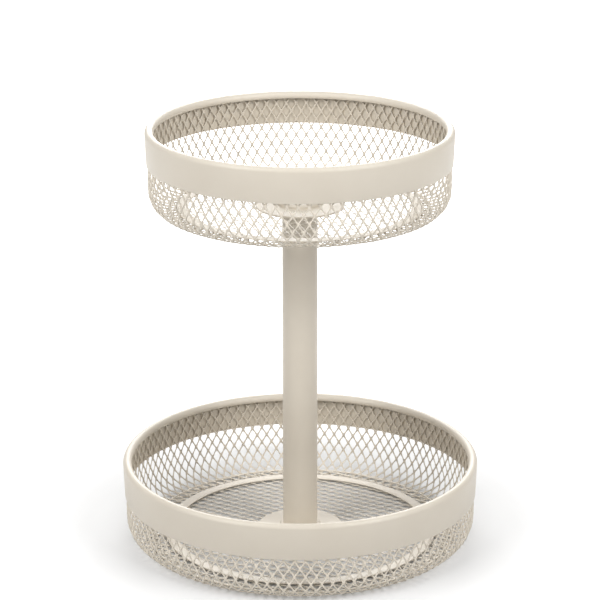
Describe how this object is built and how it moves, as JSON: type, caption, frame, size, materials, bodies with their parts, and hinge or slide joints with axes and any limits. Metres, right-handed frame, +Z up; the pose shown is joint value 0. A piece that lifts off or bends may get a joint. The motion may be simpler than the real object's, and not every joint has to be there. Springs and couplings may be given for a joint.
{
  "type": "tiered mesh basket",
  "caption": "Tiered fruit stand: round open-topped trays of diamond mesh, each with a plain rolled-edge band round its top, one above the other on a central pole.",
  "frame": {"origin": "on the table under the lower tray, in the pole's axis", "axes": "+Z up along the pole, -Y towards the viewer, +X to the viewer's right"},
  "size_m": [0.298, 0.298, 0.3535],
  "materials": {
    "powder_coat": "satin warm beige powder coat",
    "zinc_steel": "zinc plated"
  },
  "bodies": {
    "lower_tray": {"lower_mesh_wall": "powder_coat", "lower_mesh_floor": "powder_coat", "lower_floor_ring": "powder_coat", "lower_rim_band": "powder_coat", "lower_rim_wire": "zinc_steel", "lower_hub_plate": "powder_coat"},
    "pole": {"pole_tube": "powder_coat", "pole_foot_plate": "zinc_steel", "pole_head_plate": "zinc_steel", "lower_washer": "zinc_steel", "lower_screw": "zinc_steel", "upper_washer": "zinc_steel", "upper_screw": "zinc_steel"},
    "upper_tray": {"upper_mesh_wall": "powder_coat", "upper_mesh_floor": "powder_coat", "upper_floor_ring": "powder_coat", "upper_rim_band": "powder_coat", "upper_rim_wire": "zinc_steel", "upper_hub_plate": "powder_coat"}
  },
  "joints": [
    {"name": "pole_swivel", "type": "hinge", "parent": "lower_tray", "child": "pole", "pos_m": [0, 0, 0.008], "axis": [0, 0, 1], "continuous": true},
    {"name": "upper_tray_swivel", "type": "hinge", "parent": "pole", "child": "upper_tray", "pos_m": [0, 0, 0.291], "axis": [0, 0, 1], "continuous": true}
  ]
}
